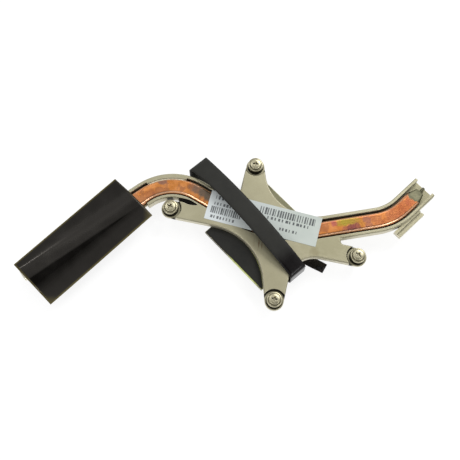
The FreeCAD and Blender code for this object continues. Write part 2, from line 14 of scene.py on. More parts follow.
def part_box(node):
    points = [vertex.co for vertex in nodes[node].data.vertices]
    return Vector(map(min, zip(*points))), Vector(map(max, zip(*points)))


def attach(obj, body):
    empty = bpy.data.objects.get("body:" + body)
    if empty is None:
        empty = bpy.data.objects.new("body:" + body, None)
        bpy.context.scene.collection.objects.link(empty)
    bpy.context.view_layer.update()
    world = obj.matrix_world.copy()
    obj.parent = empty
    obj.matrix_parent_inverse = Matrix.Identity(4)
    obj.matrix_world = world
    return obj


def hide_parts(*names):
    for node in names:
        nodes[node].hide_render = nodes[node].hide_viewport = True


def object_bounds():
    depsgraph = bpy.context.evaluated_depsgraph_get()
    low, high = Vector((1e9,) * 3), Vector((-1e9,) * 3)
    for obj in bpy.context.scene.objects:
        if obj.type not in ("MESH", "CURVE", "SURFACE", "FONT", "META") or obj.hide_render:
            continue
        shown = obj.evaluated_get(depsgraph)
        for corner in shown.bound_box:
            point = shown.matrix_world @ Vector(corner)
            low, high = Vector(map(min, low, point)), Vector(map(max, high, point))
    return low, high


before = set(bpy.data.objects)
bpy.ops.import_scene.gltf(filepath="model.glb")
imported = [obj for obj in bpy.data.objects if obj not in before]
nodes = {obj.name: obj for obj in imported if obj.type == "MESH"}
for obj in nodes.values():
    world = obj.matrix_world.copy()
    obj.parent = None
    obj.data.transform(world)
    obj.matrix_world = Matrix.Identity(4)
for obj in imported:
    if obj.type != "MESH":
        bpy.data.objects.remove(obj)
cad_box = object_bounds()
mm = 0.001
print("nodes:", len(nodes), "box:", [tuple(round(v, 4) for v in corner) for corner in cad_box])

# %% [markdown]
# The heatsink is small and flat, and it is seen from high above, so the camera hangs about 30 cm over it.
# A camera can be placed by eye, but here its place was solved from the plan of the screws and the pipe.
# The lens is given in pixels of the picture's frame, and turned into millimetres of the sensor.

# %% Camera
eye = Vector((-76.6, -62.8, 291.4)) * mm
aim = Vector((-9.136, 9.558, 4.0)) * mm
frame_pixels, focal_pixels = 460, 760
lens = bpy.data.cameras.new("camera")
lens.sensor_width = 36.0
lens.lens = lens.sensor_width * focal_pixels / frame_pixels
lens.clip_start = 0.01
camera = bpy.data.objects.new("camera", lens)
bpy.context.scene.collection.objects.link(camera)
camera.location = eye
camera.rotation_euler = (aim - eye).to_track_quat("-Z", "Y").to_euler()
bpy.context.scene.camera = camera
bpy.context.scene.view_settings.view_transform = "Standard"
print("camera", round((aim - eye).length, 3), "m away")

# %% [markdown]
# Materials are made of nodes. A few short helpers keep the later cells readable: one adds a node and
# fills or links its inputs by name, others do arithmetic, mix two colours or stretch a range of values.
# The same nodes could be placed by hand in the shader editor; as code they can be read from top to bottom.

# %% Node helpers
def feed(tree, socket, value):
    if isinstance(value, bpy.types.NodeSocket):
        tree.links.new(value, socket)
    else:
        socket.default_value = value


def add(tree, kind, settings=None, **inputs):
    made = tree.nodes.new("ShaderNode" + kind)
    for key, value in (settings or {}).items():
        setattr(made, key, value)
    for key, value in inputs.items():
        feed(tree, made.inputs[key.replace("_", " ")], value)
    return made


def calc(tree, operation, *values):
    made = add(tree, "Math", {"operation": operation})
    for socket, value in zip(made.inputs, values):
        feed(tree, socket, value)
    return made.outputs[0]


def vector_calc(tree, operation, *values):
    made = add(tree, "VectorMath", {"operation": operation})
    for socket, value in zip(made.inputs, values):
        feed(tree, socket, value)
    measured = operation in ("DOT_PRODUCT", "DISTANCE", "LENGTH")
    return made.outputs["Value" if measured else "Vector"]


def tint(tree, factor, first, second):
    made = add(tree, "Mix", {"data_type": "RGBA"})
    for number, value in ((0, factor), (6, first), (7, second)):
        feed(tree, made.inputs[number], value)
    return made.outputs[2]


def spread(tree, value, low, high, to_low=0.0, to_high=1.0):
    made = add(tree, "MapRange", Value=value, From_Min=low, From_Max=high, To_Min=to_low, To_Max=to_high)
    return made.outputs[0]


print("node helpers ready")

# %% [markdown]
# Several finishes share the same small effects, such as grain or worn edges. Each could be built again in
# every material, but as a node group it is made once and placed with other values.

# %% Node groups
def new_group(name, ins, outs):
    made = bpy.data.node_groups.new(name, "ShaderNodeTree")
    for title, kind, value in ins:
        socket = made.interface.new_socket(title, in_out="INPUT", socket_type="NodeSocket" + kind)
        if value is not None:
            socket.default_value = value
    for title, kind in outs:
        made.interface.new_socket(title, in_out="OUTPUT", socket_type="NodeSocket" + kind)
    return made, made.nodes.new("NodeGroupInput"), made.nodes.new("NodeGroupOutput")


def place(tree, group, **inputs):
    made = tree.nodes.new("ShaderNodeGroup")
    made.node_tree = bpy.data.node_groups[group]
    for key, value in inputs.items():
        feed(tree, made.inputs[key.replace("_", " ")], value)
    return made.outputs


print("group helpers ready")

# %% [markdown]
# "speckle" is a cloudy variation whose grain size is given in millimetres.
# "streaks" is the same cloud pulled out along one direction, as rolling or brushing leaves it.
# Both could be pictures, but noise follows the object's own coordinates and needs no unwrapping of the mesh.

# %% Speckle and streaks
def own_place(tree):
    return add(tree, "TexCoord").outputs["Object"]


per_metre = 1000.0
group, given, result = new_group(
    "speckle",
    [("Grain", "Float", 1.0), ("Low", "Float", 0.35), ("High", "Float", 0.65), ("Shift", "Float", 0.0)],
    [("Value", "Float")])
size = calc(group, "DIVIDE", per_metre, given.outputs["Grain"])
cloud = add(group, "TexNoise", {"noise_dimensions": "4D"}, Vector=own_place(group),
            W=given.outputs["Shift"], Scale=size, Detail=4.0)
feed(group, result.inputs[0], spread(group, cloud.outputs[0], given.outputs["Low"], given.outputs["High"]))

group, given, result = new_group(
    "streaks", [("Turn", "Float", 0.0), ("Grain", "Float", 0.2), ("Pull", "Float", 0.05)],
    [("Value", "Float")])
turned = add(group, "VectorRotate", {"rotation_type": "Z_AXIS"}, Vector=own_place(group),
             Angle=given.outputs["Turn"])
pulled = add(group, "CombineXYZ", X=given.outputs["Pull"], Y=1.0, Z=1.0)
scaled = vector_calc(group, "MULTIPLY", turned.outputs[0], pulled.outputs[0])
size = calc(group, "DIVIDE", per_metre, given.outputs["Grain"])
cloud = add(group, "TexNoise", Vector=scaled, Scale=size, Detail=3.0)
feed(group, result.inputs[0], spread(group, cloud.outputs[0], 0.3, 0.7))
print("groups:", [g.name for g in bpy.data.node_groups])

# %% [markdown]
# "edge_catch" compares the surface's direction with a slightly rounded one, which finds the sharp edges.
# "crevice" looks how much of the room a point can see, which finds the gaps where shade gathers.
# On the bracket and the screws, the edges get painted highlights and the gaps painted shade; these could be
# painted by hand, but found in this way they fit any shape.

# %% Edges and crevices
group, given, result = new_group(
    "edge_catch", [("Width", "Float", 0.0002)], [("Mask", "Float"), ("Normal", "Vector")])
soft = add(group, "Bevel", {"samples": 6}, Radius=given.outputs["Width"]).outputs[0]
alike = vector_calc(group, "DOT_PRODUCT", soft, add(group, "NewGeometry").outputs["Normal"])
feed(group, result.inputs[0], spread(group, alike, 0.995, 0.85))
feed(group, result.inputs[1], soft)

group, given, result = new_group("crevice", [("Reach", "Float", 0.001)], [("Mask", "Float")])
shade = add(group, "AmbientOcclusion", {"samples": 8}, Distance=given.outputs["Reach"])
feed(group, result.inputs[0], spread(group, shade.outputs["AO"], 0.5, 0.12))
print("groups:", [g.name for g in bpy.data.node_groups])

# %% [markdown]
# Every finish starts from the same Principled shader. A number that is the same all over is put on the
# shader's own input, so it survives the export; colour, roughness and relief are linked to nodes.

# %% Finish helpers
def colour(red, green, blue):
    # Screen values of 0 to 255 as the linear numbers that shaders use.
    parts = [v / 255 for v in (red, green, blue)]
    return tuple(v / 12.92 if v <= 0.04045 else ((v + 0.055) / 1.055) ** 2.4 for v in parts) + (1.0,)


def new_finish(name, **sockets):
    made = bpy.data.materials.new(name)
    made.use_nodes = True
    shader = made.node_tree.nodes["Principled BSDF"]
    for key, value in sockets.items():
        shader.inputs[key.replace("_", " ")].default_value = value
    return made, made.node_tree, shader


def coat(tree, shader, base, rough):
    feed(tree, shader.inputs["Base Color"], base)
    feed(tree, shader.inputs["Roughness"], rough)


def bumpy(tree, shader, strength, depth, height, **more):
    made = add(tree, "Bump", Strength=strength, Distance=depth * mm, Height=height, **more)
    feed(tree, shader.inputs["Normal"], made.outputs[0])


print("finish helpers ready")

# %% [markdown]
# Stains lie at known places of the part, so they are soft discs around points of the plan. A plain disc
# looks drawn, so a little speckle is added before its edge is set, which makes the edge ragged.
# The screw seats are shaded in the same way, by the distance to the nearest screw's axis.
# Lengths in a shader are metres; "span" takes millimetres and stretches them to a share of 0 to 1.

# %% Stain masks
def span(tree, value, start, end, to_start=0.0, to_end=1.0):
    return spread(tree, value, start * mm, end * mm, to_start, to_end)


def near(tree, spot, x, y, reach):
    # 1 at a point of the plan in millimetres, falling to 0 at its reach.
    flat = vector_calc(tree, "MULTIPLY", spot, (1.0, 1.0, 0.0))
    away = vector_calc(tree, "DISTANCE", flat, (x * mm, y * mm, 0.0))
    return span(tree, away, reach, reach * 0.35)


def ragged_mask(tree, core, ragged, share, low, high, strength):
    cloudy = calc(tree, "ADD", core, calc(tree, "MULTIPLY", ragged, share))
    return spread(tree, cloudy, low, high, 0.0, strength)


def seat_shade(tree, spots):
    # 1 in the narrow relief around each screw seat and on its floor below the head, 0 elsewhere.
    parts = add(tree, "SeparateXYZ", Vector=own_place(tree)).outputs
    flat = add(tree, "CombineXYZ", X=parts[0], Y=parts[1]).outputs[0]
    nearest = 1.0
    for spot in spots:
        away = vector_calc(tree, "DISTANCE", flat, (spot.x, spot.y, 0.0))
        nearest = calc(tree, "MINIMUM", nearest, away)
    ring = calc(tree, "MULTIPLY", span(tree, nearest, 3.8, 4.1), span(tree, nearest, 4.7, 4.6))
    relief = calc(tree, "MULTIPLY", ring, span(tree, parts[2], 4.1, 3.9))
    seat_floor = calc(tree, "MULTIPLY", span(tree, nearest, 3.4, 3.2), span(tree, parts[2], 3.0, 2.8))
    return calc(tree, "MAXIMUM", relief, seat_floor)


print("stain masks ready")

# %% [markdown]
# The bracket is a casting plated with nickel: a satin, warm grey metal with hardly any pattern.
# A photographed texture could give its look, but a few layers of noise do it at any distance.
# Large soft clouds change its warmth, fine grain changes its roughness, upright walls are painted paler as
# painted light, and edges get a painted highlight. Painted shade darkens the gaps and the screw seats.

# %% Nickel
def facing_up(tree):
    return add(tree, "SeparateXYZ", Vector=add(tree, "NewGeometry").outputs["Normal"]).outputs[2]


def glaze(tree, base, mask, share, over):
    # The base colour with another laid over it, as strong as a share of the mask.
    return tint(tree, calc(tree, "MULTIPLY", mask, share), base, over)


def nickel(name, dark, light, rough, metal, grain_bump, wall, seats=(), stains_and_shade=(), scuffs=()):
    dusty, painted_wall_light, painted_edge_highlight = colour(120, 112, 88), colour(236, 230, 208), colour(232, 226, 202)
    scuff_brown, painted_gap_shade, painted_seat_shade = colour(104, 70, 46), colour(22, 17, 8), colour(24, 21, 10)
    made, tree, shader = new_finish(name, Metallic=metal)
    cloud = place(tree, "speckle", Grain=9.0, Low=0.3, High=0.7)["Value"]
    fine = place(tree, "speckle", Grain=0.35, Low=0.3, High=0.7, Shift=3.0)["Value"]
    lines = place(tree, "streaks", Turn=0.55, Grain=0.25, Pull=0.06)["Value"]
    edge = place(tree, "edge_catch", Width=0.3 * mm)
    spot, upward = own_place(tree), facing_up(tree)
    base = glaze(tree, tint(tree, cloud, dark, light), fine, 0.12, dusty)
    # Painted light: upright walls are made paler, as a low lamp would light them.
    base = tint(tree, spread(tree, upward, 0.5, 0.2, 0.0, wall), base, painted_wall_light)
    for x, y, reach, patch_colour in stains_and_shade:
        ragged = place(tree, "speckle", Grain=1.5, Shift=6.0)["Value"]
        cloudy = ragged_mask(tree, near(tree, spot, x, y, reach), ragged, 0.4, 0.4, 1.1, 0.9)
        # Nothing on the underside.
        cloudy = calc(tree, "MULTIPLY", cloudy, spread(tree, upward, -0.6, -0.2))
        base = tint(tree, cloudy, base, patch_colour)
    for x, y, reach in scuffs:
        strokes = place(tree, "streaks", Turn=-0.75, Grain=0.9, Pull=0.16)["Value"]
        strokes = calc(tree, "MULTIPLY", spread(tree, strokes, 0.6, 0.8), near(tree, spot, x, y, reach))
        base = glaze(tree, base, strokes, 0.75, scuff_brown)
    # Painted highlight: the sharp edges are made brighter, as if light caught them.
    base = glaze(tree, base, edge["Mask"], 0.8, painted_edge_highlight)
    # Painted shade: gaps and hollows that see little of the room are darkened.
    base = glaze(tree, base, place(tree, "crevice", Reach=2.1 * mm)["Mask"], 0.92, painted_gap_shade)
    if seats:
        # Painted shade on the screw seats and on the floor under each head.
        base = glaze(tree, base, seat_shade(tree, seats), 0.95, painted_seat_shade)
    grain = calc(tree, "ADD", calc(tree, "MULTIPLY", fine, 0.6), calc(tree, "MULTIPLY", lines, 0.4))
    coat(tree, shader, base, spread(tree, grain, 0.0, 1.0, rough - 0.06, rough + 0.07))
    bumpy(tree, shader, grain_bump, 0.02, grain, Normal=edge["Normal"])
    return made


print("nickel ready")

# %% [markdown]
# The bracket and the contact plate are the same plating. On the bracket, a few brown scuffs lie beside the
# tape, and faint stains on the right arm; the patch over the end flange is painted shade. The plate's colours
# are painted darker, as painted shade, since it lies below the bracket, with stains of yellow-green, near
# black and pale grey. They could be painted in a picture, but as a place in the plan, a reach in millimetres
# and a colour, each stain can be moved by its numbers.

# %% Nickel finishes
# The second patch, over the end flange and the trough's end, is painted shade.
cast_stains_and_shade = ((17.0, -19.0, 14.0, colour(154, 149, 121)), (58.5, -31.5, 8.0, colour(136, 132, 107)),
               (9.0, -20.0, 2.6, colour(146, 139, 111)))
plate_stains = ((-16.5, -6.0, 12.0, colour(206, 216, 122)), (-16.5, 11.0, 11.0, colour(52, 50, 36)),
                (16.4, 4.6, 11.0, colour(128, 126, 100)))
arms = ("left", "top", "right", "bottom")
seats = [sum(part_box("captive_screw_" + arm), Vector()) / 2 for arm in arms]
nickel_cast = nickel(
    "nickel_cast", colour(160, 155, 128), colour(173, 168, 141), rough=0.44, metal=0.75, grain_bump=0.5,
    wall=0.7, seats=seats, stains_and_shade=cast_stains_and_shade, scuffs=((-3.4, -3.4, 4.2),))
# Painted shade: the plate's colours are set darker than the bracket's, as it lies below the bracket.
nickel_plate = nickel(
    "nickel_plate", colour(80, 79, 54), colour(94, 92, 64), rough=0.36, metal=0.85, grain_bump=0.3,
    wall=0.0, stains_and_shade=plate_stains)
print("nickel finishes:", nickel_cast.name, nickel_plate.name)

# %% [markdown]
# The heat pipe is copper that has seen heat: mostly bright orange, with brown and purple tarnish, and one
# stretch where the oxide is thin enough to show yellow and green. Such stains could be painted on the
# mesh; noise does it without a picture, and rows of small spots along the pipe say where the stronger
# stains lie.

# %% Copper stains
copper, tree, shader = new_finish("copper", Metallic=0.9)
spot = own_place(tree)
blotch = place(tree, "speckle", Grain=3.2, Low=0.42, High=0.6)["Value"]
patch = place(tree, "speckle", Grain=4.2, Low=0.5, High=0.56, Shift=7.0)["Value"]
ragged = place(tree, "speckle", Grain=1.7, Shift=9.0)["Value"]
fine = place(tree, "speckle", Grain=0.5, Low=0.3, High=0.7, Shift=2.0)["Value"]
drawn = place(tree, "streaks", Turn=0.58, Grain=0.3, Pull=0.04)["Value"]
base = tint(tree, blotch, colour(206, 132, 66), colour(228, 154, 92))
base = glaze(tree, base, patch, 0.5, colour(140, 90, 72))

# Each stain is a place in the plan, its reach in millimetres, its strength and its colour.
tarnish = (
    (25.2, -18.2, 2.4, 0.85, colour(178, 158, 58)),
    (27.0, -19.4, 2.6, 0.9, colour(160, 158, 54)),
    (28.8, -20.6, 2.6, 0.85, colour(160, 156, 54)),
    (30.6, -21.9, 2.6, 0.8, colour(168, 148, 64)),
    (31.5, -24.4, 2.4, 0.6, colour(190, 138, 60)),
    (23.3, -16.9, 1.8, 0.65, colour(184, 90, 102)),
    (25.1, -22.0, 2.2, 0.55, colour(140, 78, 76)),
    (27.0, -23.0, 2.6, 0.8, colour(116, 64, 78)),
    (28.9, -24.0, 2.4, 0.75, colour(118, 68, 80)),
    (33.9, -24.8, 2.2, 0.65, colour(126, 96, 100)),
    (33.0, -26.7, 2.2, 0.6, colour(128, 90, 90)),
    (36.8, -29.3, 2.6, 0.5, colour(150, 80, 52)),
    (39.4, -30.5, 2.4, 0.4, colour(146, 78, 50)),
    (-7.3, 33.2, 3.0, 0.65, colour(150, 112, 88)),
    (-6.3, 30.8, 3.8, 0.85, colour(128, 106, 90)),
    (-5.5, 28.4, 4.0, 0.95, colour(114, 101, 87)),
    (-4.9, 26.0, 3.8, 0.95, colour(108, 98, 84)),
    (-14.7, 44.2, 2.8, 0.8, colour(132, 102, 94)),
    (-22.5, 43.0, 3.2, 0.6, colour(160, 96, 66)),
    (45.5, -31.6, 5.5, 0.6, colour(150, 80, 48)),
    (49.5, -31.2, 4.2, 0.7, colour(138, 72, 44)),
    (52.6, -31.2, 3.2, 0.75, colour(146, 80, 56)),
)
for x, y, reach, strength, patch_colour in tarnish:
    mask = ragged_mask(tree, near(tree, spot, x, y, reach), ragged, 0.5, 0.5, 0.95, strength)
    base = tint(tree, mask, base, patch_colour)
base = glaze(tree, base, fine, 0.14, colour(120, 62, 36))
print("copper stains:", len(tarnish))

# %% [markdown]
# Along its length the pipe gets browner away from the fins. Its rounded flanks get a painted highlight,
# brighter than the flat top, as if lamps caught them. Its sealed end is dipped in tin, which starts with a
# wavy edge, and the nose at the fins is pale. All of this follows the pipe's own x or the way its surface
# faces, so no picture is needed.

# %% Copper ends and flanks
brown_from, brown_full = 4.0, 34.0
tin_from, tin_full, tin_wave = 54.5, 55.2, 1.4
nose_from, nose_full = -79.0, -79.6
along = add(tree, "SeparateXYZ", Vector=spot).outputs[0]
base = tint(tree, span(tree, along, brown_from, brown_full, 0.0, 0.4), base, colour(150, 86, 54))
upward = facing_up(tree)
# Painted highlight: the rounded flanks are made brighter than the flat top.
painted_flank_highlight = calc(tree, "MULTIPLY", spread(tree, upward, 0.985, 0.9), spread(tree, upward, 0.35, 0.6))
base = glaze(tree, base, painted_flank_highlight, 0.75, colour(255, 206, 170))
wavy = calc(tree, "ADD", along, calc(tree, "MULTIPLY", blotch, tin_wave * mm))
tinned = span(tree, wavy, tin_from, tin_full)
base = tint(tree, tinned, base, tint(tree, blotch, colour(94, 93, 74), colour(112, 110, 88)))
base = tint(tree, span(tree, along, nose_from, nose_full), base, colour(240, 235, 216))
grain = calc(tree, "ADD", calc(tree, "MULTIPLY", fine, 0.5), calc(tree, "MULTIPLY", drawn, 0.5))
rough = calc(tree, "ADD", spread(tree, grain, 0.0, 1.0, 0.24, 0.36), calc(tree, "MULTIPLY", tinned, 0.24))
rough = calc(tree, "SUBTRACT", rough, calc(tree, "MULTIPLY", painted_flank_highlight, 0.08))
coat(tree, shader, base, rough)
bumpy(tree, shader, 0.35, 0.03, grain)
print("copper has", len(tree.nodes), "nodes")

# %% [markdown]
# The fins are bare rolled sheet, and the retaining clips are dark spring steel with brighter edges.
# One plain grey metal could do for both from afar, but from the side the fins are a large bright face, and
# streaks that run one way in their roughness make them look rolled.

# %% Fin sheet and clip steel
fin_sheet, tree, shader = new_finish("fin_sheet", Metallic=0.95)
rolled = place(tree, "streaks", Turn=0.0, Grain=0.3, Pull=0.02)["Value"]
cloud = place(tree, "speckle", Grain=4.0)["Value"]
base = tint(tree, rolled, colour(186, 186, 184), colour(208, 208, 206))
base = glaze(tree, base, cloud, 0.25, colour(160, 158, 152))
coat(tree, shader, base, spread(tree, rolled, 0.0, 1.0, 0.28, 0.42))
bumpy(tree, shader, 0.25, 0.01, rolled)

clip_steel, tree, shader = new_finish("clip_steel", Metallic=1.0)
cloud = place(tree, "speckle", Grain=0.8)["Value"]
edge = place(tree, "edge_catch", Width=0.1 * mm)
base = tint(tree, cloud, colour(98, 96, 92), colour(122, 120, 114))
base = tint(tree, edge["Mask"], base, colour(190, 186, 176))
coat(tree, shader, base, spread(tree, cloud, 0.0, 1.0, 0.3, 0.45))
feed(tree, shader.inputs["Normal"], edge["Normal"])
print("sheet metals:", fin_sheet.name, clip_steel.name)

# %% [markdown]
# The screws are plated and turned on a lathe, so fine rings, about four to a millimetre, run round their
# heads. The groove around the crown and the recess get painted shade, and the edges a painted highlight. The
# rings and the groove come from the distance to each screw's own axis, which its object coordinates give; the
# recess is a crevice.

# %% Screw steel
ring_rate = 26000.0
screw_steel, tree, shader = new_finish("screw_steel", Metallic=1.0)
away = vector_calc(tree, "LENGTH", vector_calc(tree, "MULTIPLY", own_place(tree), (1.0, 1.0, 0.0)))
rings = calc(tree, "SINE", calc(tree, "MULTIPLY", away, ring_rate))
cloud = place(tree, "speckle", Grain=1.4)["Value"]
edge = place(tree, "edge_catch", Width=0.12 * mm)
base = tint(tree, cloud, colour(172, 166, 138), colour(192, 186, 160))
# Painted highlight on the sharp edges.
base = glaze(tree, base, edge["Mask"], 0.7, colour(250, 246, 230))
groove = calc(tree, "MULTIPLY", span(tree, away, 2.1, 2.3), span(tree, away, 2.7, 2.5))
# Painted shade in the groove around the crown.
base = glaze(tree, base, groove, 0.7, colour(66, 60, 40))
# Painted shade in the cross recess.
base = glaze(tree, base, place(tree, "crevice", Reach=0.9 * mm)["Mask"], 0.9, colour(30, 26, 14))
coat(tree, shader, base, spread(tree, calc(tree, "ADD", cloud, rings), -1.0, 2.0, 0.3, 0.42))
bumpy(tree, shader, 0.05, 0.01, rings, Normal=edge["Normal"])
print("screw metal:", screw_steel.name)

# %% [markdown]
# The film over the fins is glossy black polyester. Where it was cut, light gets into its edge, and a thin
# olive rim shows. The rim could be a strip of its own, but as a value painted on the mesh, called "rim", it
# fades softly into the black. "dull" is a second one for the roughness, where handling has taken the gloss.
# The film in the side bay is the same kind of sheet with a duller face.

# %% Film finishes
def painted(tree, name):
    # A value that is painted on the points of a mesh.
    return add(tree, "Attribute", {"attribute_name": name}).outputs["Fac"]


black_film, tree, shader = new_finish(
    "black_film", IOR=1.5, Specular_IOR_Level=0.35, Specular_Tint=(1.0, 0.93, 0.84, 1.0))
cloud = place(tree, "speckle", Grain=6.0)["Value"]
dust = place(tree, "speckle", Grain=0.25, Low=0.62, High=0.75, Shift=5.0)["Value"]
base = tint(tree, cloud, colour(8, 7, 6), colour(13, 12, 11))
base = glaze(tree, base, dust, 0.12, colour(70, 68, 62))
base = tint(tree, painted(tree, "rim"), base, colour(104, 95, 50))
rough = spread(tree, calc(tree, "ADD", cloud, dust), 0.0, 2.0, 0.17, 0.29)
coat(tree, shader, base, calc(tree, "ADD", rough, calc(tree, "MULTIPLY", painted(tree, "dull"), 0.3)))
bumpy(tree, shader, 0.12, 0.05, cloud)

insulator, tree, shader = new_finish("insulator", IOR=1.45, Specular_IOR_Level=0.26)
fine = place(tree, "speckle", Grain=0.3)["Value"]
cloud = place(tree, "speckle", Grain=5.0, Shift=4.0)["Value"]
base = tint(tree, cloud, colour(22, 22, 19), colour(29, 29, 25))
base = glaze(tree, base, fine, 0.12, colour(70, 70, 66))
coat(tree, shader, base, spread(tree, fine, 0.0, 1.0, 0.42, 0.58))
bumpy(tree, shader, 0.15, 0.02, fine)
print("films:", black_film.name, insulator.name)

# %% [markdown]
# The tape is a woven black strip: two sets of streaks at right angles make the weave. Its free tail shows
# the shinier sticky side, and the near end of its top run shines too. Each side could have a material of
# its own, but the shine comes on slowly, so it is a painted value, "sticky".
# Pale flecks of dust hang on the sticky side, but only low down, where the tail lies on the table.
# The foam is matt black, with fine pores.

# %% Tape and foam
tail_from, tail_full = -3.0, -4.0
tape, tree, shader = new_finish("tape", IOR=1.45, Specular_IOR_Level=0.35)
sticky = painted(tree, "sticky")
lengthwise = place(tree, "streaks", Turn=1.57, Grain=0.22, Pull=0.05)["Value"]
crosswise = place(tree, "streaks", Turn=0.0, Grain=0.22, Pull=0.05)["Value"]
weave = calc(tree, "MAXIMUM", lengthwise, crosswise)
cloud = place(tree, "speckle", Grain=4.0)["Value"]
base = tint(tree, cloud, colour(24, 24, 20), colour(31, 31, 27))
base = glaze(tree, base, weave, 0.12, colour(74, 74, 67))
fleck = place(tree, "speckle", Grain=0.7, Low=0.55, High=0.7, Shift=8.0)["Value"]
height = add(tree, "SeparateXYZ", Vector=own_place(tree)).outputs[2]
fleck = calc(tree, "MULTIPLY", fleck, span(tree, height, tail_from, tail_full))
glue = tint(tree, fleck, colour(12, 9, 9), colour(64, 54, 52))
woven_rough = spread(tree, weave, 0.0, 1.0, 0.52, 0.66)
coat(tree, shader, tint(tree, sticky, base, glue), spread(tree, sticky, 0.0, 1.0, woven_rough, 0.2))
bumpy(tree, shader, 0.3, 0.03, weave)

foam, tree, shader = new_finish("foam", IOR=1.4, Specular_IOR_Level=0.1)
pores = place(tree, "speckle", Grain=0.2, Low=0.4, High=0.6)["Value"]
base = tint(tree, pores, colour(9, 8, 7), colour(19, 17, 15))
coat(tree, shader, base, spread(tree, pores, 0.0, 1.0, 0.8, 0.95))
bumpy(tree, shader, 0.4, 0.05, pores)
print("soft finishes:", tape.name, foam.name)

# %% [markdown]
# The label is coated paper with rows of print, made here of plain upright bars. Each row could be a strip
# of mesh, but print has no thickness, so one node group makes a row: it keeps what lies between four
# limits, in millimetres, and fills a random share of each narrow cell with ink.

# %% Print row
group, given, result = new_group(
    "print_row",
    [("Place", "Vector", None), ("Left", "Float", 0.0), ("Right", "Float", 1.0), ("Low", "Float", 0.0),
     ("High", "Float", 1.0), ("Cell", "Float", 0.3), ("Row", "Float", 0.0)],
    [("Ink", "Float")])
parts = add(group, "SeparateXYZ", Vector=given.outputs["Place"])
across, up = (calc(group, "MULTIPLY", parts.outputs[i], per_metre) for i in (0, 1))
inside = calc(group, "MULTIPLY", calc(group, "GREATER_THAN", across, given.outputs["Left"]),
              calc(group, "LESS_THAN", across, given.outputs["Right"]))
inside = calc(group, "MULTIPLY", inside, calc(group, "GREATER_THAN", up, given.outputs["Low"]))
inside = calc(group, "MULTIPLY", inside, calc(group, "LESS_THAN", up, given.outputs["High"]))
cells = calc(group, "DIVIDE", across, given.outputs["Cell"])
cell = add(group, "CombineXYZ", X=calc(group, "FLOOR", cells), Y=given.outputs["Row"])
chance = add(group, "TexWhiteNoise", {"noise_dimensions": "2D"}, Vector=cell.outputs[0])
bar_share = spread(group, chance.outputs["Value"], 0.0, 1.0, 0.28, 0.78)
inked = calc(group, "LESS_THAN", calc(group, "FRACT", cells), bar_share)
feed(group, result.inputs[0], calc(group, "MULTIPLY", inside, inked))
print("print row has", len(group.nodes), "nodes")

# %% [markdown]
# The paper gets paler towards one end, and the ink is a little worn. The label could be unwrapped to find
# its own axes, but it is flat, so a Mapping node that undoes its place and turn gives them at once.

# %% Printed label
label_middle, label_turn = (4.0 * mm, 4.1 * mm, 0.0), (0.0, 0.0, math.radians(-58.3))
label_stock, tree, shader = new_finish("label_stock", IOR=1.45)
own = add(tree, "Mapping", {"vector_type": "TEXTURE"}, Vector=own_place(tree), Location=label_middle,
          Rotation=label_turn).outputs[0]

# Each row of print is its left, right, low and high limit and the width of a cell, in millimetres.
print_rows = (
    (-20.6, -16.6, 3.0, 4.6, 1.3),
    (-20.6, -9.5, 0.5, 1.7, 1.3),
    (-21.3, -9.0, -3.1, -0.2, 0.86),
    (-20.9, -11.0, -5.2, -4.0, 1.3),
    (-2.5, 20.6, 1.9, 4.9, 1.02),
    (1.0, 18.4, 0.2, 1.4, 1.5),
    (7.3, 14.8, -3.3, -2.1, 1.4),
)
ink = 0.0
for row, (left, right, low, high, cell) in enumerate(print_rows):
    bars = place(tree, "print_row", Place=own, Left=left, Right=right, Low=low, High=high, Cell=cell,
                 Row=float(row))["Ink"]
    ink = calc(tree, "MAXIMUM", ink, bars)
fine = place(tree, "speckle", Grain=0.4)["Value"]
cloud = place(tree, "speckle", Grain=7.0)["Value"]
along = add(tree, "SeparateXYZ", Vector=own).outputs[0]
base = tint(tree, cloud, colour(182, 190, 183), colour(191, 198, 191))
base = tint(tree, span(tree, along, 12.0, -16.0, 0.0, 0.8), base, colour(216, 222, 224))
base = glaze(tree, base, fine, 0.1, colour(180, 188, 190))
worn = spread(tree, fine, 0.0, 1.0, 0.72, 0.95)
coat(tree, shader, glaze(tree, base, ink, worn, colour(44, 46, 52)), spread(tree, fine, 0.0, 1.0, 0.42, 0.55))
bumpy(tree, shader, 0.1, 0.02, fine)
print("label has", len(tree.nodes), "nodes")

# %% [markdown]
# The solids that already have the right shape only need their finish. They stay where they are, and each
# gets its material in place of the plain one that came with it.

# %% Dress the solids
def dress(node, finish):
    slots = nodes[node].data.materials
    slots.clear()
    slots.append(finish)


dress("bracket", nickel_cast)
dress("contact_plate", nickel_plate)
dress("heat_pipe", copper)
dress("insulating_film", insulator)
dress("label", label_stock)
for name in nodes:
    if name.startswith("fin_") and name != "fin_film":
        dress(name, fin_sheet)
    if name.startswith("retaining_clip"):
        dress(name, clip_steel)
print("dressed solids:", sum(1 for n in nodes.values() if n.data.materials))

# %% [markdown]
# New pieces are made from rows of points: neighbouring rows are joined by four-sided faces.
# A sheet gets a second layer below the first, and a wall round the rim, so it is a closed solid.
# A modifier could thicken it, but this way every point is known and can carry painted values.

# %% Mesh helpers
def mesh_piece(name, points, faces, finish, smooth=True):
    data = bpy.data.meshes.new(name)
    data.from_pydata(points, [], faces)
    data.validate()
    work = bmesh.new()
    work.from_mesh(data)
    bmesh.ops.recalc_face_normals(work, faces=work.faces)
    work.to_mesh(data)
    work.free()
    for face in data.polygons:
        face.use_smooth = smooth
    data.materials.append(finish)
    made = bpy.data.objects.new(name, data)
    bpy.context.scene.collection.objects.link(made)
    return made


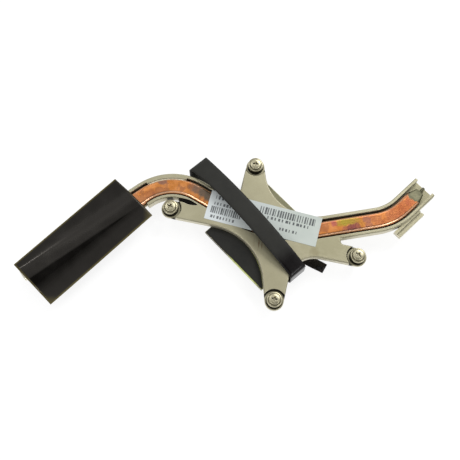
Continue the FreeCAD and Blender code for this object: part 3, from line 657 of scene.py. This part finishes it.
def sheet_faces(rows, columns):
    # Faces of two layers of rows x columns points, with a wall all round.
    layer = rows * columns
    faces = []
    for r in range(rows - 1):
        for c in range(columns - 1):
            a, b = r * columns + c, (r + 1) * columns + c
            faces.append((a, a + 1, b + 1, b))
            faces.append((a + layer, b + layer, b + layer + 1, a + layer + 1))
    border = list(range(columns)) + [r * columns + columns - 1 for r in range(1, rows)]
    border += [(rows - 1) * columns + c for c in range(columns - 2, -1, -1)]
    border += [r * columns for r in range(rows - 2, 0, -1)]
    for a, b in zip(border, border[1:] + border[:1]):
        faces.append((a, b, b + layer, a + layer))
    return faces


print("mesh helpers ready")

# %% [markdown]
# The fin film lies on the fins and goes up over the pipe like a tent. It could be draped by a cloth
# simulation, but stiff film bends in one direction at a time, so a formula across the pipe gives its
# shape: a straight slope on one side, a rounded ridge, a short steep strip on the other side, then a soft
# foot. The steep strip narrows from the free end to the bend, as on the real sheet.

# %% Fin film shape
def clamp(value):
    return min(1.0, max(0.0, value))


low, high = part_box("fin_film")
pipe_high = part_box("heat_pipe")[1]
fin_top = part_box("fin_01")[1].z
rise = pipe_high.z - fin_top
pipe_start, pipe_bend = Vector((-81.6, 51.5)) * mm, Vector((-11.1, 43.1)) * mm
heading = (pipe_bend - pipe_start).normalized()
side = Vector((-heading.y, heading.x))
flat_half = 2.75 * mm
strip_wide, strip_slope, slope_wide = 3.6 * mm, 0.37, 12.0 * mm
foot_short, foot_longer = 8.0 * mm, 12.0 * mm
ridge_blend, film_gap = 0.18 * mm, 0.09 * mm
ripple_rate, ripple_high = 130.0, 0.05 * mm


def soft_max(a, b, blend):
    return (a + b + math.sqrt((a - b) ** 2 + blend * blend)) / 2


def film_place(x, y):
    # How far a point lies to the side of the pipe, and its share of the way from the free end to the bend.
    return (Vector((x, y)) - pipe_start).dot(side), (x - low.x) / (high.x - low.x)


def film_height(x, y):
    from_pipe, share = film_place(x, y)
    if from_pipe < 0:
        out = -from_pipe - flat_half
        strip = strip_wide * (1.0 - share)
        left_over = rise - strip_slope * strip
        soft = clamp((out - strip) / (foot_short + foot_longer * share))
        lean = rise - strip_slope * min(out, strip) - left_over * (2.0 * soft - soft * soft)
    else:
        lean = rise * max(0.0, 1.0 - (from_pipe - flat_half) / slope_wide)
    rest = fin_top - soft_max(-lean, -rise, ridge_blend) + film_gap
    ripple = noise.noise(Vector((x, y, 0)) * ripple_rate) * ripple_high
    return rest + abs(ripple)


print("film rises", round(rise / mm, 2), "mm")

# %% [markdown]
# The sheet is a grid of points at these heights. Each point also says how near it is to a cut edge, for
# the olive rim, and how dull it is: the ridge towards the bend and the foot on the fins have lost gloss.
# The sheet lies turned by a small angle, a little wider at the bend, where its rim is fainter.

# %% Fin film
def paint(piece, name, values):
    layer = piece.data.attributes.new(name, "FLOAT", "POINT")
    layer.data.foreach_set("value", values)


film_thick, columns, rows = 0.2 * mm, 61, 113
ridge_wide, foot_start, foot_nearer, foot_fade = 2.2 * mm, 8.5 * mm, 6.5 * mm, 2.5 * mm
rim_wide, corner_wide, fainter_end = 1.0 * mm, 5.0 * mm, 0.7 * mm
end_longer, edge_wider = 0.3 * mm, 0.9 * mm


def film_dull(x, y):
    from_pipe, share = film_place(x, y)
    ridge = math.exp(-((from_pipe - flat_half) / ridge_wide) ** 2) * clamp(2.0 * share - 0.2)
    foot = clamp((-from_pipe - (foot_start - foot_nearer * share)) / foot_fade)
    return max(ridge, 0.85 * foot)


wide, deep = high.x - low.x, high.y - low.y
centre, skew = ((low + high) / 2).to_2d(), Matrix.Rotation(math.radians(1.5), 2)
points, rims, dulls = [], [], []
for layer in (film_thick, 0.0):
    for r in range(rows):
        for c in range(columns):
            u, v = c / (columns - 1), r / (rows - 1)
            flat = Vector(((u - 0.5) * wide, (v - 0.5) * deep))
            spot = centre + skew @ (flat + Vector((end_longer * u, -edge_wider * (1.0 - v) * u)))
            points.append((spot.x, spot.y, min(film_height(*spot), high.z - film_thick) + layer))
            end, edge = wide / 2 - abs(flat.x), deep / 2 - abs(flat.y)
            corner = 0.55 * (1.0 - (end + edge) / corner_wide) if flat.y < 0 else 0.0
            end += fainter_end if flat.x > 0 else 0.0
            rims.append(max(0.0, corner, 0.85 - min(end, edge) / rim_wide))
            dulls.append(film_dull(*spot))
fin_film = mesh_piece("fin_film_sheet", points, sheet_faces(rows, columns), black_film)
paint(fin_film, "rim", rims)
paint(fin_film, "dull", dulls)
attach(fin_film, "heatsink")
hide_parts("fin_film")
print("fin film:", len(points), "points, top", round(max(p[2] for p in points) / mm, 2), "mm")

# %% [markdown]
# The tape band is one strip: it turns under at the near end, goes over the label in a low arch, folds
# down past the pipe's big bend and runs back below to a free tail. It could be bent by a modifier, but a
# path of straight runs and rounded corners, in millimetres, puts every fold where it belongs.

# %% Tape path
def rounded_path(corners, step):
    # Points along a line whose corners are (across, height, radius).
    path = [Vector(corners[0][:2])]
    for before, corner, after in zip(corners, corners[1:], corners[2:]):
        here, radius = Vector(corner[:2]), corner[2]
        back = (Vector(before[:2]) - here).normalized()
        ahead = (Vector(after[:2]) - here).normalized()
        half = back.angle(ahead) / 2
        run = radius / math.tan(half)
        middle = here + (back + ahead).normalized() * (radius / math.sin(half))
        first, last = here + back * run - middle, here + ahead * run - middle
        turn = first.angle_signed(last)
        count = max(8, int(abs(turn) * radius / step))
        for i in range(count + 1):
            angle = -turn * i / count
            spot = Vector((first.x * math.cos(angle) - first.y * math.sin(angle),
                           first.x * math.sin(angle) + first.y * math.cos(angle)))
            path.append(middle + spot)
    path.append(Vector(corners[-1][:2]))
    full = []
    for a, b in zip(path, path[1:]):
        parts = max(1, int((b - a).length / step))
        full += [a.lerp(b, i / parts) for i in range(parts)]
    return full + [path[-1]]


rest, over = cad_box[0].z / mm, 4.57
far, near_end, lap, tail_end = 40.2, 21.6, 9.0, -26.0
arch_high, arch_radius, fold_radius = 9.0, 95.0, 2.8
fold_line = [(lap - near_end, rest, 0), (-near_end, rest, fold_radius), (-near_end, over, 1.6),
             ((far - near_end) / 2, over + arch_high, arch_radius), (far, over, fold_radius),
             (far, rest, fold_radius), (tail_end, rest, 0)]
path = rounded_path(fold_line, 0.9)
print("tape path:", round(sum((b - a).length for a, b in zip(path, path[1:])), 1), "mm long")

# %% [markdown]
# Each point of the path becomes a row across the strip. The tail below swings to one side, narrows and
# curls up a little at its end; the top run flares where it folds down, and its edges droop.

# %% Tape band
band_thick, columns = 0.25, 13
half_wide, tail_narrower, tail_swing, tail_turn = 3.75, 1.8, 11.4, 0.35
curl_from, curl_high, flare_from, flare_wide = 0.72, 2.7, 22.0, 0.55
gloss_from, gloss_fade, droop, ripple_high = -9.0, 7.0, 0.2, 0.05
low_run = rest + 0.6
turned, shift = Matrix.Rotation(math.radians(-2.6), 3, "Z"), Vector((-0.35, 0.0, 0.0))
upper, lower, sticky = [], [], []
for i, spot in enumerate(path):
    ahead = path[min(i + 1, len(path) - 1)] - path[max(i - 1, 0)]
    inward = Vector((ahead.y, -ahead.x)).normalized() * band_thick
    raised, below = spot.y > low_run, i > len(path) / 2 and spot.y < low_run
    slant = max(0.0, (far - lap - spot.x) / (far - lap - tail_end)) if below else 0.0
    half = half_wide - tail_narrower * slant
    glossy = clamp(max(slant * 4, (gloss_from - spot.x) / gloss_fade if raised else 0.0))
    flare = max(0.0, (spot.x - flare_from) / (far - flare_from)) ** 2 if raised else 0.0
    for c in range(columns):
        share = 2 * c / (columns - 1) - 1.0
        across = half * share
        wave = noise.noise(Vector((across * 0.5, spot.x * 0.35, 3.0)))
        x = across + tail_swing * slant ** 2 + flare_wide * flare * (share - 1.0)
        y = spot.x + tail_turn * across * slant
        curl = max(0.0, wave) * curl_high * max(0.0, slant - curl_from)
        lift = curl if below else ripple_high * abs(wave)
        lift -= droop * share ** 8 if spot.y > over else 0.0
        outer = Vector((x, y, spot.y + lift))
        upper.append(turned @ outer + shift)
        lower.append(turned @ (outer + Vector((0.0, inward.x, inward.y))) + shift)
        sticky.append(glossy)
points = [tuple(p * mm) for p in upper + lower]
band = mesh_piece("tape_strip", points, sheet_faces(len(path), columns), tape)
paint(band, "sticky", sticky * 2)
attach(band, "heatsink")
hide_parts("tape_band")
print("tape band:", len(path), "rows")

# %% [markdown]
# A captive screw is turned in one go: point, thread, groove for its clip, plain neck, pan head.
# It could be a plain cylinder with a thread in the material, but the shanks show from the side and
# below, so the thread is real: the rows of the lathe line wobble between root and crest as they go round,
# which winds a true helix.

# %% Lathe line
def ring_faces(rings, around):
    # Walls between neighbouring closed rings of points.
    faces = []
    for r in range(rings - 1):
        for k in range(around):
            a, b = r * around + k, r * around + (k + 1) % around
            faces.append((a, b, b + around, a + around))
    return faces


def lathe_line():
    # (radius, height, thread share) from the point up to the middle of the head, in millimetres.
    line = [(0.0, -10.2, 0), (0.72, -10.2, 0), (1.0, -9.95, 0.2)]
    line += [(1.25, -9.7 + 0.075 * i, 1.0) for i in range(80)]
    line += [(1.25, -3.66, 0.2), (1.25, -3.56, 0), (0.95, -3.54, 0), (0.95, -2.96, 0), (1.25, -2.94, 0)]
    line += [(1.25, -0.09, 0), (1.37, 0.03, 0), (2.9, 0.03, 0), (3.05, 0.15, 0), (3.05, 0.62, 0)]
    line += [(3.0, 0.78, 0), (2.88, 0.88, 0), (2.55, 0.94, 0), (2.42, 0.96, 0), (2.36, 1.02, 0)]
    line += [(2.32, 1.25, 0)]
    for angle in (math.radians(a) for a in range(10, 88, 11)):
        line.append((1.7 + 0.6 * math.cos(angle), 1.28 + 0.42 * math.sin(angle), 0))
    return line + [(1.6, 1.74, 0), (1.2, 1.78, 0), (0.6, head_high, 0), (0.0, head_high, 0)]


def lathe_points(line):
    points = []
    for radius, height, thread in line:
        for k in range(around):
            angle = 2 * math.pi * k / around
            phase = (height / pitch - k / around) % 1.0
            out = radius - thread_deep * clamp(abs(phase - 0.5) * 2.6 - 0.25) * thread
            points.append((out * math.cos(angle) * mm, out * math.sin(angle) * mm, height * mm))
    return points


head_high, pitch, thread_deep, around = 1.8, 0.45, 0.26, 48
print("lathe line:", len(lathe_line()), "rows")

# %% [markdown]
# The cross recess is pressed into the head by a tapered punch. It could be a dark cross in the material,
# but its walls catch the light, so it is cut by a boolean with a tapered cross.

# %% Captive screws
def prism_faces(count):
    # Two caps of count points each, with the walls between them.
    return [tuple(range(count)), tuple(range(2 * count - 1, count - 1, -1))] + ring_faces(2, count)


def cross_cutter(name):
    outline = []
    for quarter in range(4):
        for x, y in ((1.34, -0.29), (1.34, 0.29), (0.42, 0.42)):
            outline.append(Matrix.Rotation(quarter * math.pi / 2, 2) @ Vector((x, y)))
    points = [(p.x * mm, p.y * mm, 2.2 * mm) for p in outline]
    points += [(p.x * 0.45 * mm, p.y * 0.7 * mm, 0.75 * mm) for p in outline]
    return mesh_piece(name, points, prism_faces(len(outline)), screw_steel, smooth=False)


def screw_piece(arm, spin):
    line = lathe_line()
    made = mesh_piece("screw_" + arm, lathe_points(line), ring_faces(len(line), around), screw_steel)
    work = bmesh.new()
    work.from_mesh(made.data)
    bmesh.ops.remove_doubles(work, verts=work.verts, dist=1e-7)
    work.to_mesh(made.data)
    work.free()
    cutter = cross_cutter("cutter_" + arm)
    cut = made.modifiers.new("recess", "BOOLEAN")
    cut.object, cut.operation, cut.solver = cutter, "DIFFERENCE", "EXACT"
    ready = bpy.data.meshes.new_from_object(made.evaluated_get(bpy.context.evaluated_depsgraph_get()))
    made.modifiers.clear()
    made.data = ready
    bpy.data.objects.remove(cutter)
    ready.set_sharp_from_angle(angle=math.radians(35))
    ready.transform(Matrix.Rotation(math.radians(spin), 4, "Z"))
    return made


for arm, spin in (("left", 18), ("top", 40), ("right", 8), ("bottom", 32)):
    node = "captive_screw_" + arm
    under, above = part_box(node)
    piece = screw_piece(arm, spin)
    piece.location = ((under.x + above.x) / 2, (under.y + above.y) / 2, above.z - head_high * mm)
    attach(piece, "screw_" + arm)
    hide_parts(node)
print("screws:", len(piece.data.polygons), "faces each")

# %% [markdown]
# A narrow lens-shaped slit between the left arm and the rail is stopped with black foam.
# Foam could be a block squeezed by a simulation, but here only its flat top shows, so it is the slit's own
# outline, two arcs through three points each, pulled up to just below the bracket's face, which also hides
# the slit's walls: partly a dark piece standing in for their shade.

# %% Slit foam
def arc(first, through, last, count):
    # Points on the circle through three points, from the first up to the last, which is left out.
    a, b = through - first, last - first
    across = Vector((b.y * a.length_squared - a.y * b.length_squared,
                     a.x * b.length_squared - b.x * a.length_squared))
    from_centre = -across / (2 * (a.x * b.y - a.y * b.x))
    turn = from_centre.angle_signed(last - first + from_centre)
    return [first - from_centre + Matrix.Rotation(-turn * i / count, 2) @ from_centre for i in range(count)]


tips = Vector((-15.13, 33.91)), Vector((-11.36, 26.15))
bellies = Vector((-12.68, 30.8)), Vector((-14.55, 30.1))
outline = arc(tips[0], bellies[0], tips[1], 14) + arc(tips[1], bellies[1], tips[0], 14)
middle = sum(outline, Vector((0, 0))) / len(outline)
outline = [middle.lerp(p, 0.99) for p in outline]
# The foam's top sits just below the face, so the slit's walls do not show: partly painted shade.
face_z, foam_top, foam_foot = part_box("bracket")[1].z, 0.3, 2.8
points = [(p.x * mm, p.y * mm, face_z - depth * mm) for depth in (foam_top, foam_foot) for p in outline]
slit_foam = mesh_piece("slit_foam", points, prism_faces(len(outline)), foam, smooth=False)
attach(slit_foam, "heatsink")
print("slit foam:", len(outline), "corners")

# %% [markdown]
# Along the bracket's clamping pad, on the outer side of the big bend, the pipe is soldered in, and the
# seam shows as a thin pale line. It could be a line in the copper's material, but solder has a rounded
# face that catches the light, so it is a bead: rings of points along the bend, tapered at both ends.

# %% Solder seam
solder, tree, shader = new_finish("solder", Metallic=0.8)
cloud = place(tree, "speckle", Grain=0.6)["Value"]
base = tint(tree, cloud, colour(214, 206, 180), colour(240, 234, 214))
coat(tree, shader, base, spread(tree, cloud, 0.0, 1.0, 0.3, 0.45))
bumpy(tree, shader, 0.2, 0.02, cloud)

bend_centre, seam_radius, bead_radius = Vector((-26.12, 25.75)), 22.0, 0.36
first_angle, last_angle = math.radians(74.5), math.radians(32.3)
seam_z = pipe_high.z / mm - 0.1 - bead_radius
rings, bead_sides = 41, 10
points = []
for r in range(rings):
    angle = first_angle + (last_angle - first_angle) * r / (rings - 1)
    bead = bead_radius * min(1.0, 0.15 + 8.0 * min(r, rings - 1 - r) / (rings - 1))
    for k in range(bead_sides):
        turn = 2 * math.pi * k / bead_sides
        out = seam_radius + bead * math.cos(turn)
        points.append(((bend_centre.x + out * math.cos(angle)) * mm,
                       (bend_centre.y + out * math.sin(angle)) * mm, (seam_z + bead * math.sin(turn)) * mm))
caps = [tuple(range(bead_sides)), tuple(range((rings - 1) * bead_sides, rings * bead_sides))]
seam = mesh_piece("solder_seam", points, caps + ring_faces(rings, bead_sides), solder)
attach(seam, "heatsink")
print("solder seam:", round(seam_radius * (first_angle - last_angle), 1), "mm long")

# %% [markdown]
# The part lies on a white table. The floor is a wide, plain sheet: it takes the object's shadow like
# paper, and it glows a little towards the camera, so the background comes out white without more light
# on the part. Rays that metal and film reflect see the same floor.

# %% Floor
floor_z, reach, glow = cad_box[0].z, 3.0, 0.82
paper, tree, shader = new_finish(
    "floor", Base_Color=(0.25, 0.25, 0.25, 1.0), Roughness=0.9, Specular_IOR_Level=0.0,
    Emission_Color=(1.0, 1.0, 1.0, 1.0))
path_kind = add(tree, "LightPath").outputs
seen = calc(tree, "MAXIMUM", path_kind["Is Camera Ray"], path_kind["Is Glossy Ray"])
seen = calc(tree, "MAXIMUM", seen, path_kind["Is Transmission Ray"])
feed(tree, shader.inputs["Emission Strength"], calc(tree, "MULTIPLY", seen, glow))
corners = [(x * reach, y * reach, floor_z) for x, y in ((-1, -1), (1, -1), (1, 1), (-1, 1))]
floor = mesh_piece("floor", corners, [(0, 1, 2, 3)], paper)
print("floor at", round(floor_z / mm, 2), "mm")

# %% [markdown]
# The light is a soft tent: an even pale world, one large lamp at the right and three small, weak ones at
# the back, the front and the left, which draw thin bright lines along the rounded edges of the copper.
# One big softbox could light it all, but then these lines would be lost. Part of the tent is dark where a
# photographer would stand, because glossy black film only shows its folds when it has something dark to
# mirror. The camera itself sees the tent as plain white.

# %% Light
world = bpy.data.worlds.new("tent")
bpy.context.scene.world = world
world.use_nodes = True
tree = world.node_tree
dark_side, pale, gloom = (-0.01, -0.33, 0.944), (0.60, 0.60, 0.60, 1.0), (0.05, 0.05, 0.05, 1.0)
facing = vector_calc(tree, "DOT_PRODUCT", add(tree, "TexCoord").outputs["Generated"], dark_side)
sky = tint(tree, spread(tree, facing, 0.953, 0.983), pale, gloom)
seen = add(tree, "LightPath").outputs["Is Camera Ray"]
feed(tree, tree.nodes["Background"].inputs["Color"], tint(tree, seen, sky, (1.0, 1.0, 1.0, 1.0)))


def soft_lamp(name, place_at, size, watts, height=None):
    data = bpy.data.lights.new(name, "AREA")
    data.shape = "ELLIPSE"
    data.size, data.size_y = size, height or size
    data.energy = watts
    made = bpy.data.objects.new(name, data)
    bpy.context.scene.collection.objects.link(made)
    made.location = place_at
    made.rotation_euler = (-Vector(place_at)).to_track_quat("-Z", "Y").to_euler()


soft_lamp("key", (0.82, 0.18, 0.80), 0.70, 6.8)
soft_lamp("back", (-0.03, 0.36, 0.515), 0.20, 0.34, height=0.035)
soft_lamp("front", (0.06, -0.44, 0.43), 0.18, 0.45)
soft_lamp("left", (-0.44, 0.02, 0.40), 0.12, 0.3)
